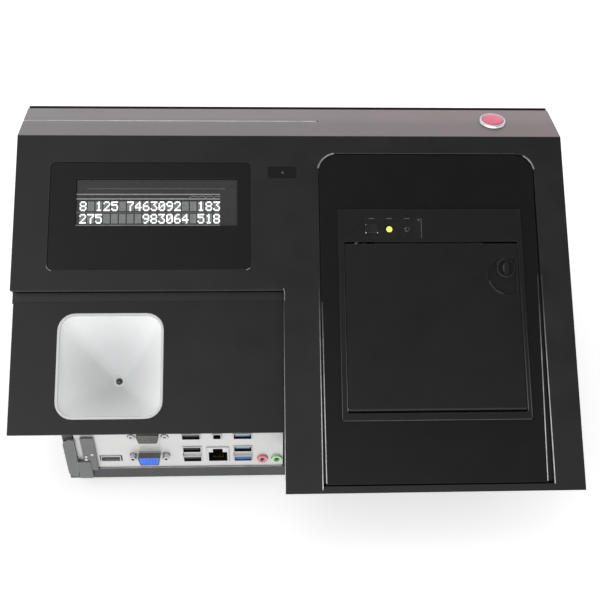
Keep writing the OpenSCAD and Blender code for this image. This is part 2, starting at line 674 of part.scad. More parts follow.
// D connector with its flange behind the shield and two jackscrews through it;
// reach is how far the shell stands out of the shield
module d_port(z, reach) difference() {
    union() {
        d_block(vga_x, z, 16.4, 8.4, shield_y - reach, 54);
        block([vga_x - 15.4, shield_y + 1.3, z - 4.2], [vga_x + 15.4, 54, z + 4.2]);
        for (x = [-12.5, 12.5]) bar_y(vga_x + x, z, shield_y - reach + 1.6, 52, 2.7, 6);
    }
    for (x = [-12.5, 12.5]) bar_y(vga_x + x, z, 40, shield_y + 1, 1.2, 16);
    for (row = [-1:1], i = [-2:2])
        bar_y(vga_x + i * 2.3 + (row == 0 ? 1.1 : 0), z + row * 2, 40, shield_y - reach + 3, 0.5, 12);
}

module vga_port() color("#2f62c8") in_row() {
    d_port(vga_z, 6.1);
    block([vga_x - 10, 53, board_z + board_t], [vga_x + 10, 62, vga_z + 3]);
}

module serial_port() color("#8f9194") in_row() {
    d_port(serial_z, 2.4);
    block([vga_x - 10, 53, vga_z + 4.6], [vga_x + 10, 62, serial_z + 3]);
}

module usb_stack(x) {
    for (z = usb_z) socket(x, z, 14.2, 6.2, 16, 1.9);
    for (z = [[board_z + board_t, 23.6], [29.6, 34.6], [40.6, 49.2]])
        block([x - 6.9, 50, z[0]], [x + 6.9, 60, z[1]]);
}

module usb2_ports() color("#aeb0b2") in_row() usb_stack(usb_x[0]);

module usb3_ports() color("#aeb0b2") in_row() usb_stack(usb_x[1]);

module lan_port() color("#9fa1a3") in_row() difference() {
    union() {
        block([-66.7, socket_y, board_z + board_t], [-50.1, 66, 39.8]);
        block([-62, 52, 38], [-55, 66, 49.2]);
        block([-62, socket_y, 49.1], [-55, 66, 55.2]);
    }
    block([-61.2, 43, 49.9], [-55.8, 57, 54.4]);
    block([-65.4, 43, 24.2], [-51.4, 61, 34.4]);
    block([-62, 43, 34.4 - eps], [-54.8, 61, 38.4]);
    block([-68, 43, 10], [-49, 50, 22.8]);
}

module audio_jack(x) difference() {
    union() {
        bar_y(x, jack_z, shield_y - 2, 52, 3.9);
        block([x - 4.8, 50.4, board_z + board_t], [x + 4.8, 62, 30.6]);
    }
    bar_y(x, jack_z, 43, shield_y, 2.3);
    bar_y(x, jack_z, 43, 59, 1.75);
}

module microphone_jack() color("#e58aa0") in_row() audio_jack(jack_x[0]);
module headphone_jack() color("#9fd08a") in_row() audio_jack(jack_x[1]);

module cpu_heatsink() color("#b2b5b8") in_row() union() {
    block([fan_c.x - 40, fan_c.y - 40, 20], [fan_c.x + 40, fan_c.y + 40, 24]);
    for (x = [fan_c.x - 39.5:6:fan_c.x + 39])
        block([x, fan_c.y - 40, 24 - eps], [x + 1.6, fan_c.y + 40, fan_z]);
    block([fan_c.x - 16, fan_c.y - 16, board_z + board_t], [fan_c.x + 16, fan_c.y + 16, 20 + eps]);
}

module fan_frame() color("#242527") in_row() translate([fan_c.x, fan_c.y, fan_z]) difference() {
    union() {
        difference() {
            plate([0, 0], 80, 80, 4, 0, fan_t);
            translate([0, 0, -1]) cylinder(r = 37.5, h = fan_t + 2);
        }
        cylinder(r = 15, h = 2);
        for (a = [45:90:315]) rotate([0, 0, a]) block([10, -2, 0], [39, 2, 2]);
        cylinder(r = 4, h = 5);
    }
    translate([0, 0, 1]) cylinder(r = 2 + run_gap, h = 8);
    for (x = [-35.5, 35.5], y = [-35.5, 35.5]) translate([x, y, -1]) cylinder(r = 2, h = fan_t + 2);
}

module fan_rotor() color("#1b1c1e") in_row() translate([fan_c.x, fan_c.y, fan_z]) union() {
    difference() {
        translate([0, 0, 3]) cylinder(r = 16, h = 10.5);
        translate([0, 0, 2]) cylinder(r = 14, h = 9);
    }
    translate([0, 0, 1.5]) cylinder(r = 2, h = 10);
    for (a = [0:360 / 7:359]) rotate([0, 0, a]) translate([15.4, 0, 8.2]) rotate([38, 0, 0])
        block([0, -5.6, -0.8], [20.6, 5.6, 0.8]);
}

module power_supply() color("#a7aaad") in_row() difference() {
    block([52, 70, tray_z + sheet], [160, 190, 48]);
    for (x = [62:8:150]) block([x, 90, 46.5], [x + 3, 170, 49]);
}

module dc_jack() color("#1a1a1b") in_row() translate([chassis_x - sheet - 12, 320, 24]) rotate([0, 90, 0]) {
    difference() {
        union() {
            translate([0, 0, 12 - 1.5]) cylinder(r = 4.9, h = sheet + 2.5);
            translate([-6, -6, 0]) cube([12, 12, 11.9]);
        }
        translate([0, 0, 4]) cylinder(r = 2.9, h = 20);
    }
    translate([0, 0, 3.9]) cylinder(r = 1.25, h = 9);
}

module rubber_feet() color("#1a1a1a") in_row() for (x = [-150, 150], y = [64, chassis_back - 22])
    translate([x, y, 0]) cylinder(r1 = 9, r2 = 10.5, h = foot_h);

module case_screws() color("#8a8c8f") in_row()
    for (x = [-191, 191], y = [100, 200, 340])
        translate([x, y, base_z - 1.4]) cylinder(r1 = 2.4, r2 = 3.2, h = 1.4);

front_housing();
rear_housing();
top_strip();
scanner_cover();
printer_panel();
printer_bezel();
status_label();
status_leds();
control_board();
display_bezel();
display_tube();
sensor_window();
scanner_window();
scanner_funnel();
scanner_camera();
slot_guide();
button_ring();
button_nut();
chassis_tray();
chassis_lid();
chassis_cheeks();
io_shield();
motherboard();
board_standoffs();
hdmi_port();
vga_port();
serial_port();
usb2_ports();
lan_port();
usb3_ports();
microphone_jack();
headphone_jack();
cpu_heatsink();
fan_frame();
fan_rotor();
power_supply();
dc_jack();
rubber_feet();
screen_bezel();
touch_glass();
lcd_panel();
paper_bucket();
thermal_head();
head_bracket();
mech_frame();
feed_motor();
tear_bar();
hinge_pins();
case_screws();
printer_door();
platen_roller();
platen_shaft();
platen_gear();
idler_gear();
motor_pinion();
paper_roll();
feed_button();
button_cap();
door_latch();
read_head();
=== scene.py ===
"""Counter-top ticket terminal: materials, fine detail, studio and camera.

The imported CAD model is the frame. Sizes marked mm are millimetres in the deck's own axes:
x across, s up the sloping deck from its toe, h outwards from it.
"""
import json
import math
import random

import bmesh
import bpy
from mathutils import Matrix, Vector


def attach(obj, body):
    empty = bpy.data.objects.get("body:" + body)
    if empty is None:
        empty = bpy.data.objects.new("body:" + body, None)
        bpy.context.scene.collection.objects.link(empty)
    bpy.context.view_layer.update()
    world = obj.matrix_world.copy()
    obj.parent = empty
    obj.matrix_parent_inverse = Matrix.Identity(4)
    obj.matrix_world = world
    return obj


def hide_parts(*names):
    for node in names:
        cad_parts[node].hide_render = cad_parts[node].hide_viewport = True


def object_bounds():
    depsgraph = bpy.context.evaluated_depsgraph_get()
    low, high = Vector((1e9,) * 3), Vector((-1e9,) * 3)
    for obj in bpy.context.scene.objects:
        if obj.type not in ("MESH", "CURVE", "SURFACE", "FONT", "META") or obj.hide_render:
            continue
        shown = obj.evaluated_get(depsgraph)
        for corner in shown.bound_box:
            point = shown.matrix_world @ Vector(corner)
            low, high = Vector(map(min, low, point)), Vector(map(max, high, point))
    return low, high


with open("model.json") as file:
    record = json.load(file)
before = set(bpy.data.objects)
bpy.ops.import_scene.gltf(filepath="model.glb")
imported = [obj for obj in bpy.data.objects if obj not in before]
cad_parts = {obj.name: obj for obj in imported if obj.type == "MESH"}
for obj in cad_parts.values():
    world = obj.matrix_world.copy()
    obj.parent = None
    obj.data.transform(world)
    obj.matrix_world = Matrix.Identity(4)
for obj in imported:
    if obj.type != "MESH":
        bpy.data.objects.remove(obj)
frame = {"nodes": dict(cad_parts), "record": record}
cad_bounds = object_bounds()
NODES = frame["nodes"]
MM = 0.001
TAU = 2 * math.pi

# ---- frames ----

LOW, HIGH = cad_bounds
DECK_ANGLE = math.radians(38)
SCREEN_ANGLE = math.radians(52)
TOE_MM = 45
BASE_MM = 42
FRONT_Y = LOW.y


def basis(origin, x, y, z):
    """Matrix from millimetres along the axes x, y, z to metres in the row frame."""
    m = Matrix((x, y, z)).transposed().to_4x4()
    return Matrix.Translation(origin) @ m @ Matrix.Scale(MM, 4)


COS, SIN = math.cos(DECK_ANGLE), math.sin(DECK_ANGLE)
DECK = basis(Vector((0, FRONT_Y, TOE_MM * MM)), (1, 0, 0), (0, COS, SIN), (0, -SIN, COS))
ROW = basis(Vector((0, FRONT_Y, 0)), (1, 0, 0), (0, 1, 0), (0, 0, 1))
SC, SS = math.cos(SCREEN_ANGLE), math.sin(SCREEN_ANGLE)
SCREEN = basis(Vector((0, HIGH.y, BASE_MM * MM)), (-1, 0, 0), (0, -SC, SS), (0, SS, SC))

# Shapes shared below, in mm
DECK_LENGTH = 270.5
DECK_RUN = DECK_LENGTH * COS
STRIP_DEPTH = 46.0
TOP_Z = TOE_MM + DECK_LENGTH * SIN
PANEL_H = -0.6
WINDOW = (-136.3, 94)
LABEL_H = 1.0
RED_RIM = 2.4
RED_RISE = 0.95

# Light: strengths, and the patch's half angles in degrees
SKY = 1.05
PATCH_TOWARDS = (0.33, -0.28, 0.9)
PATCH_CORE = 8.0
PATCH_EDGE = 51.0
PATCH_LIGHT = 0.08
FRONT_TOWARDS = (-0.35, -0.93, 0.1)
FRONT_COSINES = (0.55, 0.95)
FRONT_LIGHT = 0.9
FLOOR_LIGHT = 0.6

# ---- mesh building ----


def finish_mesh(name, bm, mat, body, matrix=DECK, bevel=0.0, smooth=False):
    """Turns bm, drawn in mm in the axes of matrix, into a piece that rides on body."""
    bmesh.ops.recalc_face_normals(bm, faces=bm.faces)
    mesh = bpy.data.meshes.new(name)
    bm.to_mesh(mesh)
    bm.free()
    mesh.transform(matrix)
    if matrix.determinant() < 0:
        mesh.flip_normals()
    obj = bpy.data.objects.new(name, mesh)
    bpy.context.scene.collection.objects.link(obj)
    mesh.materials.append(mat)
    for p in mesh.polygons:
        p.use_smooth = smooth
    if bevel:
        add_bevel(obj, bevel)
    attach(obj, body)
    return obj


def add_bevel(obj, width_mm):
    """Rounds the edges that turn by more than 30 degrees."""
    mod = obj.modifiers.new("edge", "BEVEL")
    mod.width = width_mm * MM
    mod.segments = 2
    mod.limit_method = "ANGLE"
    mod.angle_limit = math.radians(30)


def box(bm, lo, hi):
    lo, hi = Vector(lo), Vector(hi)
    m = Matrix.Translation((lo + hi) / 2) @ Matrix.Diagonal((*(hi - lo), 1))
    bmesh.ops.create_cube(bm, size=1, matrix=m)


def prism(bm, points, h0, h1):
    """A closed outline in the first two axes, from h0 to h1."""
    low = [bm.verts.new((x, y, h0)) for x, y in points]
    high = [bm.verts.new((x, y, h1)) for x, y in points]
    n = len(points)
    bm.faces.new(low[::-1])
    bm.faces.new(high)
    for i in range(n):
        j = (i + 1) % n
        bm.faces.new((low[i], low[j], high[j], high[i]))


def lathe(bm, profile, centre=(0, 0, 0), axis="z", steps=48, close=True):
    """Turns (radius, height) points about an axis through centre. Ends on the axis are closed."""
    c = Vector(centre)
    rings = []
    for r, h in profile:
        ring = []
        count = 1 if r < 1e-6 else steps
        for k in range(count):
            a = TAU * k / steps
            p = (r * math.cos(a), r * math.sin(a), h)
            if axis == "x":
                p = (p[2], p[0], p[1])
            elif axis == "y":
                p = (p[1], p[2], p[0])
            ring.append(bm.verts.new(c + Vector(p)))
        rings.append(ring)
    pairs = list(zip(rings, rings[1:]))
    if close:
        pairs.append((rings[-1], rings[0]))
    for a, b in pairs:
        for k in range(steps):
            l = (k + 1) % steps
            quad = [a[k % len(a)], a[l % len(a)], b[l % len(b)], b[k % len(b)]]
            unique = list(dict.fromkeys(quad))
            if len(unique) > 2:
                bm.faces.new(unique)


def rounded(cx, cy, w, l, r, steps=6):
    """Outline of a rectangle w by l with corners of radius r."""
    pts = []
    for qx, qy, a0 in ((1, 1, 0), (-1, 1, 90), (-1, -1, 180), (1, -1, 270)):
        for i in range(steps + 1):
            a = math.radians(a0 + 90 * i / steps)
            pts.append((cx + qx * (w / 2 - r) + r * math.cos(a), cy + qy * (l / 2 - r) + r * math.sin(a)))
    return pts


def arc_path(cx, cy, r, degrees):
    return [(cx + r * math.cos(math.radians(a)), cy + r * math.sin(math.radians(a))) for a in degrees]


# ---- materials ----


def new_material(name):
    mat = bpy.data.materials.new(name)
    mat.use_nodes = True
    tree = mat.node_tree
    tree.nodes.clear()
    out = tree.nodes.new("ShaderNodeOutputMaterial")
    shader = tree.nodes.new("ShaderNodeBsdfPrincipled")
    tree.links.new(shader.outputs[0], out.inputs[0])
    return mat, tree, shader


def noise(tree, scale, detail=3.0, stretch=None):
    """Noise in object space, scale in features per metre, drawn out along an axis by stretch."""
    coords = tree.nodes.new("ShaderNodeTexCoord")
    mapping = tree.nodes.new("ShaderNodeMapping")
    tree.links.new(coords.outputs["Object"], mapping.inputs["Vector"])
    mapping.inputs["Scale"].default_value = stretch or (1, 1, 1)
    tex = tree.nodes.new("ShaderNodeTexNoise")
    tex.inputs["Scale"].default_value = scale
    tex.inputs["Detail"].default_value = detail
    tex.inputs["Roughness"].default_value = 0.5
    tree.links.new(mapping.outputs[0], tex.inputs["Vector"])
    return tex.outputs["Fac"]


def spread(tree, value, low, high, frm=(0.3, 0.7)):
    node = tree.nodes.new("ShaderNodeMapRange")
    node.inputs["From Min"].default_value = frm[0]
    node.inputs["From Max"].default_value = frm[1]
    node.inputs["To Min"].default_value = low
    node.inputs["To Max"].default_value = high
    tree.links.new(value, node.inputs["Value"])
    return node.outputs["Result"]


def mix_colour(tree, fac, a, b):
    node = tree.nodes.new("ShaderNodeMix")
    node.data_type = "RGBA"
    node.inputs[6].default_value = (*a, 1)
    node.inputs[7].default_value = (*b, 1)
    tree.links.new(fac, node.inputs[0])
    return node.outputs[2]


def bump(tree, shader, value, distance_mm):
    node = tree.nodes.new("ShaderNodeBump")
    node.inputs["Strength"].default_value = 1.0
    node.inputs["Distance"].default_value = distance_mm * MM
    tree.links.new(value, node.inputs["Height"])
    tree.links.new(node.outputs[0], shader.inputs["Normal"])


def math_node(tree, operation, a, b):
    node = tree.nodes.new("ShaderNodeMath")
    node.operation = operation
    for socket, value in zip(node.inputs, (a, b)):
        if isinstance(value, (int, float)):
            socket.default_value = value
        else:
            tree.links.new(value, socket)
    return node.outputs[0]


def edge_mask(tree, radius_mm):
    """Near 1 on sharp edges, broken up by noise; 0 on flat faces."""
    soft = tree.nodes.new("ShaderNodeBevel")
    soft.samples = 4
    soft.inputs["Radius"].default_value = radius_mm * MM
    geometry = tree.nodes.new("ShaderNodeNewGeometry")
    dot = tree.nodes.new("ShaderNodeVectorMath")
    dot.operation = "DOT_PRODUCT"
    tree.links.new(soft.outputs[0], dot.inputs[0])
    tree.links.new(geometry.outputs["True Normal"], dot.inputs[1])
    edge = spread(tree, dot.outputs["Value"], 1.0, 0.0, frm=(0.75, 0.985))
    return math_node(tree, "MULTIPLY", edge, spread(tree, noise(tree, 240.0, 4.0), 0.25, 1.0))


def surface(name, colour, rough, metallic=0.0, spec=0.5, vary=0.12, rough_vary=0.06,
            grain=None, mottle=30.0, coat=0.0, stretch=None, wear=0.0, light=0.0):
    """A procedural finish: slow colour and roughness variation, and a fine grain (scale, depth in mm)."""
    mat, tree, shader = new_material(name)
    slow = noise(tree, mottle, 4.0, stretch)
    dark = tuple(c * (1 - vary) for c in colour)
    pale = tuple(min(1.0, c * (1 + vary)) for c in colour)
    base = mix_colour(tree, spread(tree, slow, 0.0, 1.0), dark, pale)
    if wear:
        wear_and_painted_shade = tree.nodes.new("ShaderNodeMix")
        wear_and_painted_shade.data_type = "RGBA"
        tree.links.new(edge_mask(tree, 0.7), wear_and_painted_shade.inputs[0])
        tree.links.new(base, wear_and_painted_shade.inputs[6])
        wear_and_painted_shade.inputs[7].default_value = (*(min(1.0, c + wear) for c in colour), 1)
        base = wear_and_painted_shade.outputs[2]
    tree.links.new(base, shader.inputs["Base Color"])
    other = noise(tree, mottle * 4.3, 5.0, stretch)
    tree.links.new(spread(tree, other, max(0.02, rough - rough_vary), rough + rough_vary), shader.inputs["Roughness"])
    shader.inputs["Metallic"].default_value = metallic
    shader.inputs["Specular IOR Level"].default_value = spec
    if coat:
        shader.inputs["Coat Weight"].default_value = coat
        shader.inputs["Coat Roughness"].default_value = 0.08
    if light:
        shader.inputs["Emission Color"].default_value = (*colour, 1)
        shader.inputs["Emission Strength"].default_value = light
    scale, depth = grain or (mottle * 30, 0.002)
    bump(tree, shader, noise(tree, scale, 2.0, stretch), depth)
    return mat


def glow(name, colour, strength, base=(0.8, 0.8, 0.8)):
    mat, tree, shader = new_material(name)
    shader.inputs["Base Color"].default_value = (*base, 1)
    shader.inputs["Roughness"].default_value = 0.4
    shader.inputs["Emission Color"].default_value = (*colour, 1)
    vary = noise(tree, 900.0, 2.0)
    tree.links.new(spread(tree, vary, strength * 0.85, strength * 1.1), shader.inputs["Emission Strength"])
    return mat


BLACK = (0.0114, 0.0114, 0.012)
M = {
    "housing": surface("housing_black", BLACK, 0.42, spec=0.42, grain=(2600, 0.012), mottle=9, wear=0.035),
    "rear_shell": surface("rear_black", (0.009, 0.009, 0.0095), 0.45, spec=0.42, grain=(2600, 0.012), mottle=9,
                          wear=0.035),
    "cover": surface("cover_black", (0.0105, 0.0107, 0.0116), 0.38, spec=0.43, grain=(2600, 0.01), mottle=9,
                     wear=0.03),
    # Lighter black for the raised top edge of the scanner cover: a painted highlight
    "band_highlight": surface("cover_band_painted_highlight", (0.02, 0.02, 0.021), 0.4, spec=0.5, grain=(2600, 0.01), mottle=9),
    "panel": surface("panel_black", (0.0085, 0.0085, 0.0088), 0.25, spec=0.3, vary=0.05, rough_vary=0.03,
                     grain=(1500, 0.002), mottle=12, wear=0.04),
    "door": surface("door_black", (0.0122, 0.0122, 0.0125), 0.3, spec=0.33, vary=0.05, rough_vary=0.03,
                    grain=(2600, 0.005), mottle=14, wear=0.05),
    "label": surface("label_black", (0.0155, 0.0155, 0.016), 0.25, spec=0.35, mottle=60),
    "smoked": surface("smoked_window", (0.0115, 0.0115, 0.0118), 0.2, spec=0.3, vary=0.05, rough_vary=0.03,
                      mottle=20, wear=0.03),
    "tube": surface("display_glass", (0.04, 0.04, 0.0405), 0.3, spec=0.42, vary=0.05, mottle=40),
    "collar": surface("diffuser_rim", (0.66, 0.66, 0.66), 0.5, vary=0.03, grain=(900, 0.01), mottle=18),
    "cheek": surface("cheek_coat", (0.15, 0.152, 0.155), 0.4, metallic=0.2, grain=(1700, 0.03), mottle=16, wear=0.25),
    "hood": surface("socket_hood", (0.13, 0.125, 0.12), 0.3, metallic=0.6, vary=0.2, mottle=60),
    # Dim pale colour: painted highlight on the joint above the scanner cover, the top of the inset panel and the latch
    "dim_highlight": surface("dim_painted_highlight", (0.04, 0.04, 0.041), 0.3, vary=0.1, mottle=60),
    # Pale colour with a faint glow: painted highlight on the card slot, the feed key corners and the dark indicator
    "painted_glint": surface("pale_painted_glint", (0.62, 0.62, 0.615), 0.3, vary=0.15, mottle=120, light=0.08),
    "dark_plastic": surface("dark_plastic", (0.008, 0.008, 0.0085), 0.4, grain=(2400, 0.008), mottle=20),
    "chrome": surface("chrome", (0.62, 0.64, 0.64), 0.1, metallic=1.0, vary=0.03, rough_vary=0.03, mottle=60),
    "sheet": surface("powder_coat", (0.052, 0.054, 0.056), 0.5, spec=0.5, grain=(1700, 0.03), mottle=16, wear=0.2),
    "shield": surface("bright_sheet", (0.62, 0.62, 0.615), 0.4, metallic=0.35, vary=0.05, grain=(500, 0.01),
                      mottle=25, stretch=(0.06, 1, 1)),
    "shell": surface("nickel_shell", (0.62, 0.62, 0.63), 0.3, metallic=0.8, vary=0.08, grain=(900, 0.006), mottle=50),
    "vga_blue": surface("blue_insert", (0.035, 0.17, 0.86), 0.4, vary=0.06, mottle=80),
    "usb_blue": surface("blue_tongue", (0.04, 0.13, 0.36), 0.35, vary=0.08, mottle=80),
    "pink": surface("pink_jack", (0.78, 0.25, 0.3), 0.35, vary=0.05, mottle=80),
    "green": surface("green_jack", (0.42, 0.72, 0.4), 0.35, vary=0.05, mottle=80),
    "board": surface("solder_mask", (0.01, 0.06, 0.03), 0.3, vary=0.2, mottle=70),
    "brass": surface("turned_brass", (0.62, 0.43, 0.16), 0.28, metallic=1.0, vary=0.08, mottle=50),
    "alloy": surface("bare_alloy", (0.6, 0.61, 0.62), 0.35, metallic=1.0, vary=0.06, mottle=30, stretch=(1, 0.05, 1)),
    "steel": surface("bare_steel", (0.52, 0.53, 0.55), 0.25, metallic=1.0, vary=0.06, mottle=40),
    "zinc": surface("zinc_plate", (0.5, 0.5, 0.52), 0.34, metallic=1.0, vary=0.1, mottle=60),
    "foot": surface("foot_rubber", (0.012, 0.012, 0.012), 0.7, spec=0.3, grain=(1500, 0.03), mottle=40),
    "roller": surface("roller_rubber", (0.018, 0.018, 0.018), 0.6, spec=0.3, grain=(2400, 0.01), mottle=40),
    "screen_glass": surface("screen_glass", (0.004, 0.0045, 0.0055), 0.06, spec=0.5, vary=0.05,
                            rough_vary=0.02, mottle=6),
    "screen_area": surface("screen_area", (0.012, 0.013, 0.016), 0.1, spec=0.5, vary=0.05, rough_vary=0.03, mottle=9),
    "paper": surface("thermal_paper", (0.84, 0.835, 0.81), 0.55, vary=0.02, grain=(700, 0.01), mottle=50),
    "card": surface("grey_card", (0.42, 0.36, 0.28), 0.8, spec=0.2, vary=0.1, grain=(900, 0.03), mottle=90),
    "gear_plastic": surface("acetal", (0.78, 0.76, 0.7), 0.35, vary=0.04, mottle=50),
    "ceramic": surface("head_ceramic", (0.3, 0.2, 0.12), 0.3, vary=0.1, mottle=60),
    "lit": glow("lit_dots", (0.97, 1.0, 1.0), 1.0),
    "unlit": surface("unlit_dots", (0.24, 0.245, 0.245), 0.5, vary=0.12, mottle=600),
    "wire": surface("grid_wires", (0.3, 0.3, 0.3), 0.4, vary=0.15, mottle=300),
    "faint": surface("faint_wires", (0.085, 0.085, 0.086), 0.4, vary=0.15, mottle=300),
    "mark": surface("printed_marks", (0.1, 0.1, 0.103), 0.5, vary=0.2, mottle=400),
    "led_on": glow("ready_light", (0.72, 1.0, 0.1), 1.25, (0.6, 0.8, 0.1)),
    "led_off": surface("error_light", (0.012, 0.012, 0.013), 0.12, vary=0.1, mottle=200),
    "lens": surface("lens_glass", (0.004, 0.004, 0.008), 0.05, spec=0.6, coat=1.0, vary=0.05, rough_vary=0.02,
                    mottle=90),
}


def strip_material():
    """Taupe metallic paint: flake noise over a slow change of hue across the width, darkened towards the front by
    painted shade.
    """
    mat, tree, shader = new_material("taupe_metallic")
    coords = tree.nodes.new("ShaderNodeTexCoord")
    parts = tree.nodes.new("ShaderNodeSeparateXYZ")
    tree.links.new(coords.outputs["Object"], parts.inputs[0])
    across = spread(tree, parts.outputs["X"], 0.0, 1.0, frm=(-0.21, 0.16))
    hue = mix_colour(tree, across, (0.25, 0.236, 0.239), (0.254, 0.207, 0.218))
    mid = FRONT_Y + (DECK_RUN + 0.5 * STRIP_DEPTH) * MM
    # Painted shade: the strip is darker towards its front
    depth = spread(tree, parts.outputs["Y"], 0.86, 1.04, frm=(mid - 6 * MM, mid + 6 * MM))
    flake = spread(tree, noise(tree, 5200.0, 2.0), 0.94, 1.06)
    wear_and_painted_shade = math_node(tree, "MULTIPLY", depth, flake)
    node = tree.nodes.new("ShaderNodeVectorMath")
    node.operation = "SCALE"
    tree.links.new(hue, node.inputs[0])
    tree.links.new(wear_and_painted_shade, node.inputs["Scale"])
    tree.links.new(node.outputs[0], shader.inputs["Base Color"])
    tree.links.new(spread(tree, noise(tree, 32.0, 5.0), 0.3, 0.4), shader.inputs["Roughness"])
    shader.inputs["Metallic"].default_value = 0.35
    bump(tree, shader, noise(tree, 4200.0, 2.0), 0.004)
    return mat


def white_material():
    """Diffuser plastic with painted light: brighter towards the rim, darker towards the eye deep in the funnel, and a
    painted glow that follows the same pattern.
    """
    mat, tree, shader = new_material("white_diffuser")
    coords = tree.nodes.new("ShaderNodeTexCoord")
    away = tree.nodes.new("ShaderNodeVectorMath")
    away.operation = "DISTANCE"
    away.inputs[1].default_value = DECK @ Vector((WINDOW[0], WINDOW[1] - 4, -20))
    tree.links.new(coords.outputs["Object"], away.inputs[0])
    lit = spread(tree, away.outputs["Value"], 0.0, 1.0, frm=(0.018, 0.05))
    mottled_painted_light = math_node(tree, "MULTIPLY", lit, spread(tree, noise(tree, 18.0), 0.94, 1.04))
    tree.links.new(mix_colour(tree, mottled_painted_light, (0.76, 0.765, 0.765), (0.86, 0.86, 0.86)), shader.inputs["Base Color"])
    tree.links.new(spread(tree, noise(tree, 77.0, 4.0), 0.42, 0.56), shader.inputs["Roughness"])
    # Painted glow, strongest where the painted light is
    shader.inputs["Emission Color"].default_value = (1, 1, 1, 1)
    tree.links.new(math_node(tree, "MULTIPLY", mottled_painted_light, 0.2), shader.inputs["Emission Strength"])
    bump(tree, shader, noise(tree, 900.0, 2.0), 0.01)
    return mat


def clear_material():
    mat, tree, shader = new_material("clear_window")
    shader.inputs["Base Color"].default_value = (0.97, 0.98, 0.98, 1)
    shader.inputs["Transmission Weight"].default_value = 1.0
    shader.inputs["IOR"].default_value = 1.08
    tree.links.new(spread(tree, noise(tree, 300.0), 0.02, 0.06), shader.inputs["Roughness"])
    bump(tree, shader, noise(tree, 60.0), 0.002)
    return mat


def red_material():
    mat, tree, shader = new_material("red_lens")
    slow = spread(tree, noise(tree, 220.0), 0.0, 1.0)
    tree.links.new(mix_colour(tree, slow, (0.7, 0.07, 0.16), (0.8, 0.11, 0.22)), shader.inputs["Base Color"])
    tree.links.new(spread(tree, noise(tree, 900.0), 0.12, 0.24), shader.inputs["Roughness"])
    shader.inputs["Subsurface Weight"].default_value = 0.35
    shader.inputs["Subsurface Radius"].default_value = (1.0, 0.25, 0.3)
    shader.inputs["Subsurface Scale"].default_value = 2.0 * MM
    shader.inputs["Coat Weight"].default_value = 0.5
    shader.inputs["Emission Color"].default_value = (1.0, 0.2, 0.36, 1)
    shader.inputs["Emission Strength"].default_value = 0.1
    return mat


def glint_material(name, low, high, y0_mm, y1_mm):
    """A painted highlight on an edge, pale and fading out from y0 to y1, both measured back from the toe."""
    mat, tree, shader = new_material(name)
    coords = tree.nodes.new("ShaderNodeTexCoord")
    parts = tree.nodes.new("ShaderNodeSeparateXYZ")
    tree.links.new(coords.outputs["Object"], parts.inputs[0])
    fade = spread(tree, parts.outputs["Y"], high, low, frm=(FRONT_Y + y0_mm * MM, FRONT_Y + y1_mm * MM))
    broken = math_node(tree, "MULTIPLY", fade, spread(tree, noise(tree, 130.0, 3.0), 0.7, 1.15))
    tone = tree.nodes.new("ShaderNodeCombineColor")
    for socket in tone.inputs:
        tree.links.new(broken, socket)
    tree.links.new(tone.outputs[0], shader.inputs["Base Color"])
    tree.links.new(spread(tree, noise(tree, 500.0), 0.25, 0.4), shader.inputs["Roughness"])
    bump(tree, shader, noise(tree, 900.0), 0.004)
    return mat


M["strip"] = strip_material()
M["glint"] = glint_material("lit_edge", 0.04, 0.68, 30, 112)
M["soft_glint"] = glint_material("soft_painted_glint", 0.012, 0.12, 45, 95)
# Pale corner colour: painted glints on corners of the inset panel, the scanner cover and the display window
M["corner_glint"] = surface("corner_painted_glint", (0.24, 0.24, 0.24), 0.3, vary=0.3, mottle=150)
# Paler copy of the blue tongue colour: a painted highlight
M["pale_blue"] = surface("pale_blue_tongue", (0.13, 0.27, 0.42), 0.35, vary=0.08, mottle=80)
M["clear"] = clear_material()
M["white"] = white_material()
M["red"] = red_material()

# ---- finishes on the CAD nodes ----

slots = {p["node"]: p["material_slot"] for p in frame["record"]["subparts"]}
EDGE_MM = {
    "front_housing": 0.9, "rear_housing": 0.9, "top_strip": 0.5, "scanner_cover": 0.3, "printer_panel": 0.35,
    "printer_bezel": 0.3, "printer_door": 0.3, "display_bezel": 0.25, "sensor_window": 0.15, "feed_button": 0.5,
    "door_latch": 0.3, "button_ring": 0.35, "chassis_tray": 0.4, "chassis_lid": 0.3, "chassis_cheeks": 0.5,
    "screen_bezel": 0.6, "touch_glass": 0.4, "rubber_feet": 0.6, "io_shield": 0.2, "hdmi_port": 0.15,
    "usb2_ports": 0.15, "usb3_ports": 0.15, "lan_port": 0.2, "serial_port": 0.25, "vga_port": 0.25,
    "microphone_jack": 0.4, "headphone_jack": 0.4, "display_tube": 0.2,
    "platen_roller": 0.4, "paper_roll": 0.3, "fan_frame": 0.4, "fan_rotor": 0.3, "dc_jack": 0.3,
    "paper_bucket": 0.4, "status_leds": 0.2, "scanner_funnel": 0.5,
}
FINISH = {"leds": "label", "vga_blue": "shell"}
BRIGHT_SHELLS = ("usb2_ports", "usb3_ports", "lan_port", "hdmi_port")
for name, obj in NODES.items():
    obj.data.materials.clear()
    obj.data.materials.append(M[FINISH.get(slots[name], slots[name])])
    if name in BRIGHT_SHELLS:
        obj.data.materials[0] = M["shield"]
    width = EDGE_MM.get(name)
    if width:
        weld = obj.modifiers.new("weld", "WELD")
        weld.merge_threshold = 1e-6
        flat = obj.modifiers.new("flat", "DECIMATE")
        flat.decimate_type = "DISSOLVE"
        flat.angle_limit = math.radians(0.2)
        flat.delimit = {"MATERIAL"}
        add_bevel(obj, width)
        shade = obj.modifiers.new("shade", "WEIGHTED_NORMAL")
        shade.weight = 100


